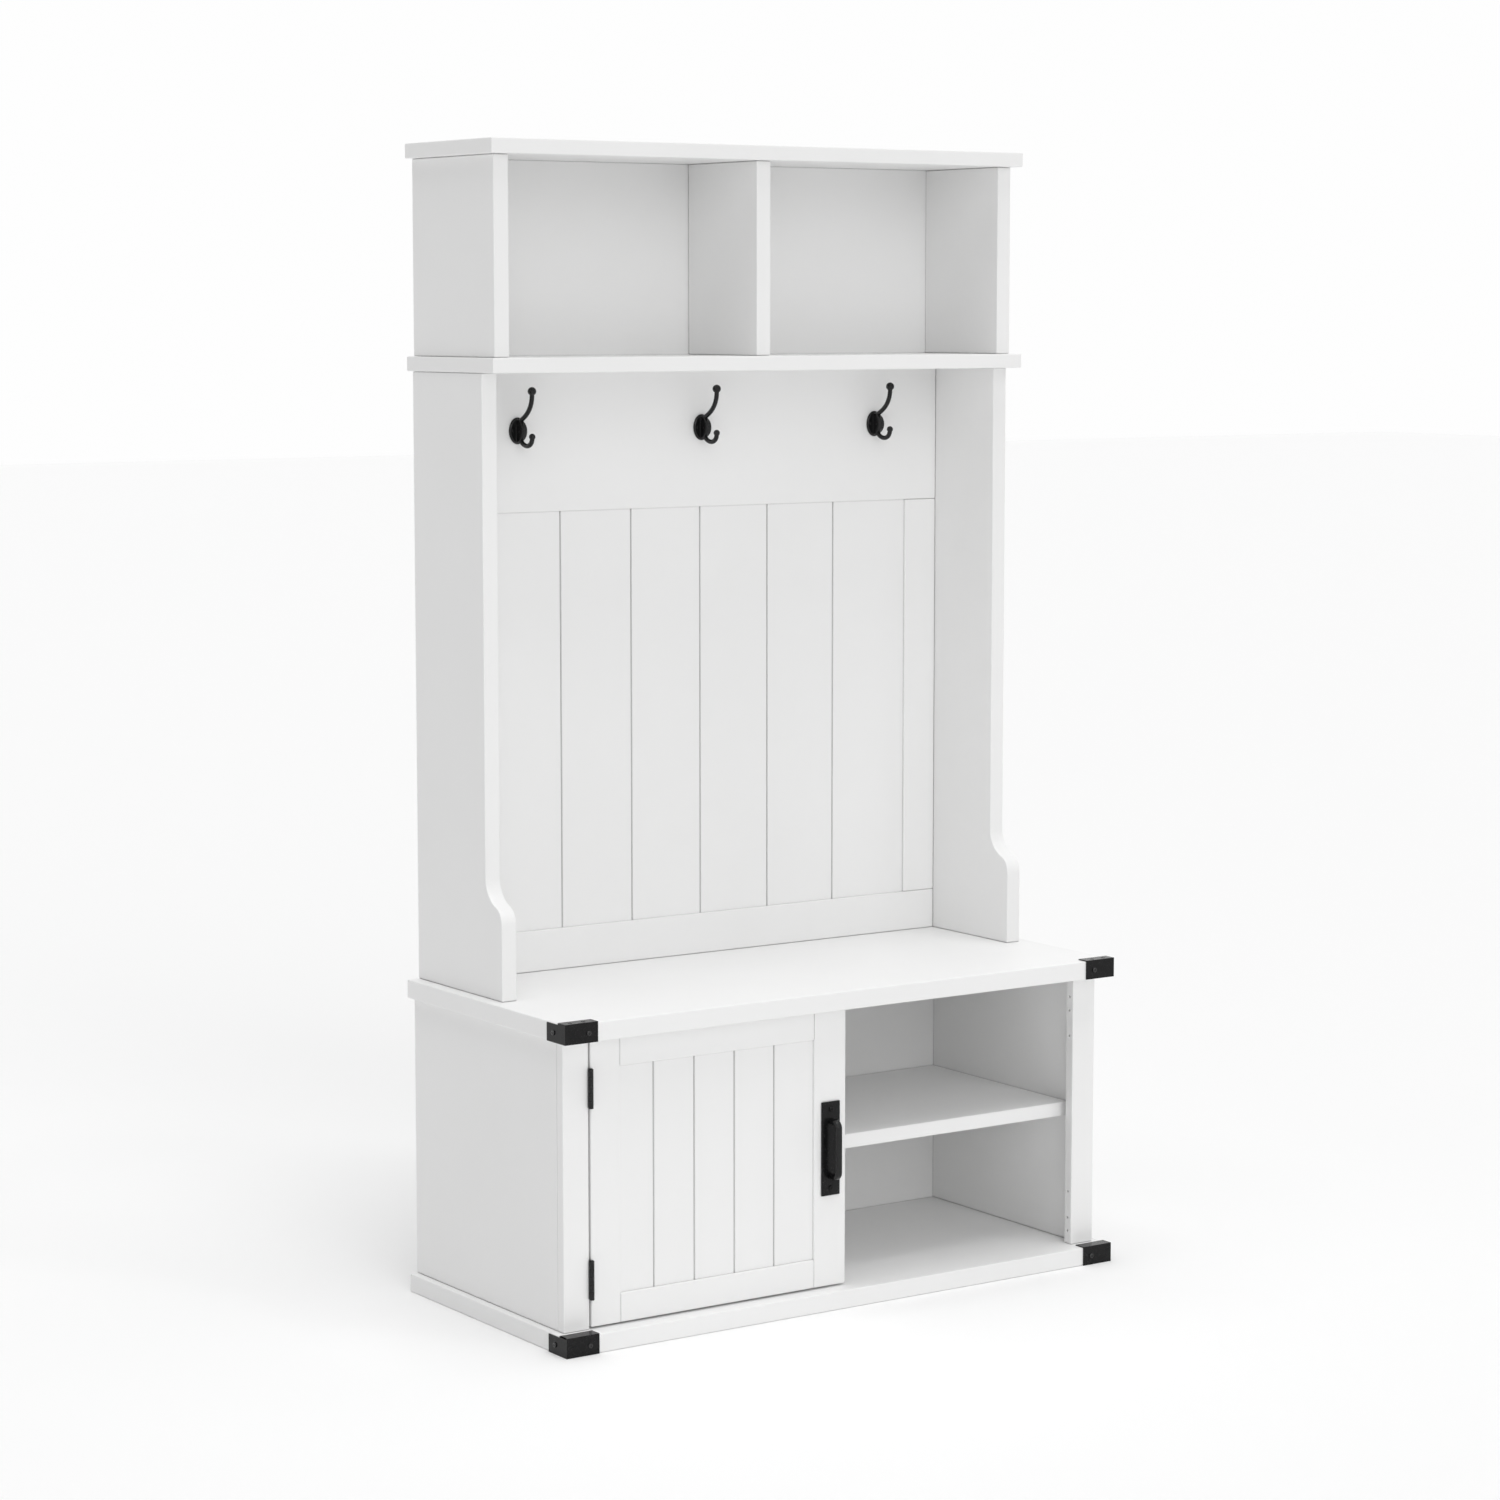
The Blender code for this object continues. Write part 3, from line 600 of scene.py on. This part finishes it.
def makeRib():
    # half of a flat disc, stretched forward
    bpy.ops.mesh.primitive_cylinder_add(
        vertices=96, radius=hook["ribHalf"], depth=hook["ribThick"], rotation=(0, math.pi / 2, 0)
    )
    rib = bpy.context.active_object
    applyPlace(rib)
    startEdit(rib)
    bpy.ops.mesh.select_all(action="SELECT")
    bpy.ops.transform.resize(value=(1, hook["ribReach"] / hook["ribHalf"], 1))
    bpy.ops.mesh.bisect(plane_co=(0, -0.5 * mm, 0), plane_no=(0, 1, 0), use_fill=True, clear_outer=True)
    endEdit()
    forward, down, radius = hook["dimple"]
    dents = []
    for side in (-1, 1):
        place = (side * (hook["ribThick"] / 2 + radius * 0.35), -forward, -down)
        bpy.ops.mesh.primitive_uv_sphere_add(segments=24, ring_count=16, radius=radius, location=place)
        dent = bpy.context.active_object
        applyPlace(dent)
        dents.append(dent)
    combine(rib, dents, "DIFFERENCE")
    return rib


def makeArm(points):
    start, firstHandle, lastHandle, end = (Vector((0, -forward * mm, up * mm)) for forward, up in points)
    bpy.ops.curve.primitive_bezier_curve_add(location=(0, 0, 0))
    arm = bpy.context.active_object
    first, last = arm.data.splines[0].bezier_points
    for point in (first, last):
        point.handle_left_type = "FREE"
        point.handle_right_type = "FREE"
    first.co, first.handle_right, first.handle_left = start, firstHandle, start * 2 - firstHandle
    last.co, last.handle_left, last.handle_right = end, lastHandle, end * 2 - lastHandle
    arm.data.resolution_u = 32
    arm.data.bevel_depth = hook["armRadius"]
    arm.data.bevel_resolution = 8
    arm.data.use_fill_caps = True
    makeActive(arm)
    bpy.ops.object.convert(target="MESH")
    return bpy.context.active_object


def makeBall(radius, height):
    bpy.ops.mesh.primitive_uv_sphere_add(
        segments=40, ring_count=24, radius=radius, location=(0, -hook["reach"], height)
    )
    ball = bpy.context.active_object
    applyPlace(ball)
    return ball


def makeHook():
    parts = [makeRose(), makeRib(), makeArm(hook["upperArm"]), makeArm(hook["lowerArm"])]
    parts += [makeBall(*hook["upperBall"]), makeBall(*hook["lowerBall"])]
    whole = joinAll(parts)
    remesh = whole.modifiers.new("cast", "REMESH")
    remesh.mode = "VOXEL"
    remesh.voxel_size = hook["voxel"]
    smooth = whole.modifiers.new("fillets", "SMOOTH")
    smooth.factor = 0.5
    smooth.iterations = hook["smoothing"]
    applyModifiers(whole)
    bpy.ops.object.shade_smooth()
    return whole


castHook = makeHook()
roseScrew = makeScrewHead(hook["screwRadius"], hook["screwHeight"], 1.4 * mm)
upperRadius, upperHeight = hook["upperBall"]
for place in ("left", "middle", "right"):
    nodeName = "coat_hook_" + place
    low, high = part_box(nodeName)
    centre = Vector(((low.x + high.x) / 2, high.y, high.z - upperHeight - upperRadius))
    obj = copyPiece(castHook, "coatHook" + place.title(), Matrix.Translation(centre))
    finishPiece(obj, obj.name, "case", castBlack, [nodeName])
    for side, out in (("Left", -1), ("Right", 1)):
        seat = centre + Vector((out * hook["screwOut"], -hook["roseThick"] + 0.2 * mm, 0))
        placeHead(roseScrew, f"hook{place.title()}Screw{side}", seat, -yAxis, "case")
for helper in (castHook, roseScrew, screwHead):
    bpy.data.objects.remove(helper)
print("coat hooks done")


# hinges: the CAD knuckles and pins, merged and softened

hinge = {"edge": 0.25 * mm}


def makeSoftCopy(node, name, body):
    obj = copyPiece(nodes[node], name, Matrix.Identity(4))
    obj.parent = None
    for key in list(obj.keys()):
        del obj[key]
    startEdit(obj)
    bpy.ops.mesh.select_all(action="SELECT")
    bpy.ops.mesh.remove_doubles(threshold=0.01 * mm)
    bpy.ops.mesh.dissolve_limited(angle_limit=math.radians(2))
    endEdit()
    addBevel(obj, hinge["edge"], 2, 40)
    applyModifiers(obj)
    smoothByAngle(obj)
    finishPiece(obj, name, body, castBlack, [node])


for place in ("lower", "upper"):
    makeSoftCopy(f"hinge_{place}_case_leaf", f"{place}HingeCaseLeaf", "case")
    makeSoftCopy(f"hinge_{place}_door_leaf", f"{place}HingeDoorLeaf", "door")
    makeSoftCopy(f"hinge_{place}_pin", f"{place}HingePin", "case")
print("hinges done")


# floor, light and camera

floorLook = {"size": 60, "colour": (0.96, 0.96, 0.96), "rough": (0.75, 0.9)}


def makeFloor():
    low = cadBox[0]
    bpy.ops.mesh.primitive_plane_add(size=floorLook["size"], location=(0, 0, low.z))
    floor = bpy.context.active_object
    floor.name = "floor"
    applyPlace(floor)
    material, tree, shader = startMaterial("paleFloor")
    grain = addNoise(tree, objectPattern(tree, (1, 1, 1)), 6.0, 3.0)
    tree.links.new(addRange(tree, grain, *floorLook["rough"]), shader.inputs["Roughness"])
    shader.inputs["Base Color"].default_value = (*floorLook["colour"], 1)
    shader.inputs["Specular IOR Level"].default_value = 0.1
    floor.data.materials.append(material)


studio = {
    "ambient": 0.28,          # what lights the object from all round
    "backdrop": 0.99,         # what the camera sees behind it
    # each light: strength, angle that it spans in degrees, direction from the object to it
    "overheadLight": (1.85, 50, (0.0, -0.04, 0.49)),
    "frontLight": (0.77, 42, (-0.27, -1.0, 0.48)),
    "glintLight": (0.10, 7, (0.35, -0.55, 0.75)),
}


def makeWorld():
    world = bpy.data.worlds.new("studio")
    bpy.context.scene.world = world
    world.use_nodes = True
    tree = world.node_tree
    tree.nodes.clear()
    output = tree.nodes.new("ShaderNodeOutputWorld")
    mix = tree.nodes.new("ShaderNodeMixShader")
    path = tree.nodes.new("ShaderNodeLightPath")
    for socket, strength in ((1, studio["ambient"]), (2, studio["backdrop"])):
        background = tree.nodes.new("ShaderNodeBackground")
        background.inputs["Color"].default_value = (1, 1, 1, 1)
        background.inputs["Strength"].default_value = strength
        tree.links.new(background.outputs["Background"], mix.inputs[socket])
    # the camera and the reflections see the backdrop
    seen = tree.nodes.new("ShaderNodeMath")
    seen.operation = "MAXIMUM"
    tree.links.new(path.outputs["Is Camera Ray"], seen.inputs[0])
    tree.links.new(path.outputs["Is Glossy Ray"], seen.inputs[1])
    tree.links.new(seen.outputs["Value"], mix.inputs["Fac"])
    tree.links.new(mix.outputs["Shader"], output.inputs["Surface"])


def makeLight(name):
    strength, spread, direction = studio[name]
    bpy.ops.object.light_add(type="SUN", location=(0, 0, 3))
    light = bpy.context.active_object
    light.name = name
    light.data.energy = strength
    light.data.angle = math.radians(spread)
    light.rotation_euler = Vector(direction).to_track_quat("Z", "Y").to_euler()


def makeCamera():
    bpy.ops.object.camera_add(location=(-3.2663, -4.7428, 1.4838))
    camera = bpy.context.active_object
    camera.rotation_euler = (math.radians(90 - 6.579), 0, math.radians(-34.348))
    camera.data.lens = 91.19
    camera.data.sensor_width = 36
    camera.data.clip_end = 200
    bpy.context.scene.camera = camera


makeFloor()
makeWorld()
makeLight("overheadLight")
makeLight("frontLight")
makeLight("glintLight")
makeCamera()
bpy.context.scene.view_settings.view_transform = "Standard"
print("floor, light and camera done")

deselectAll()
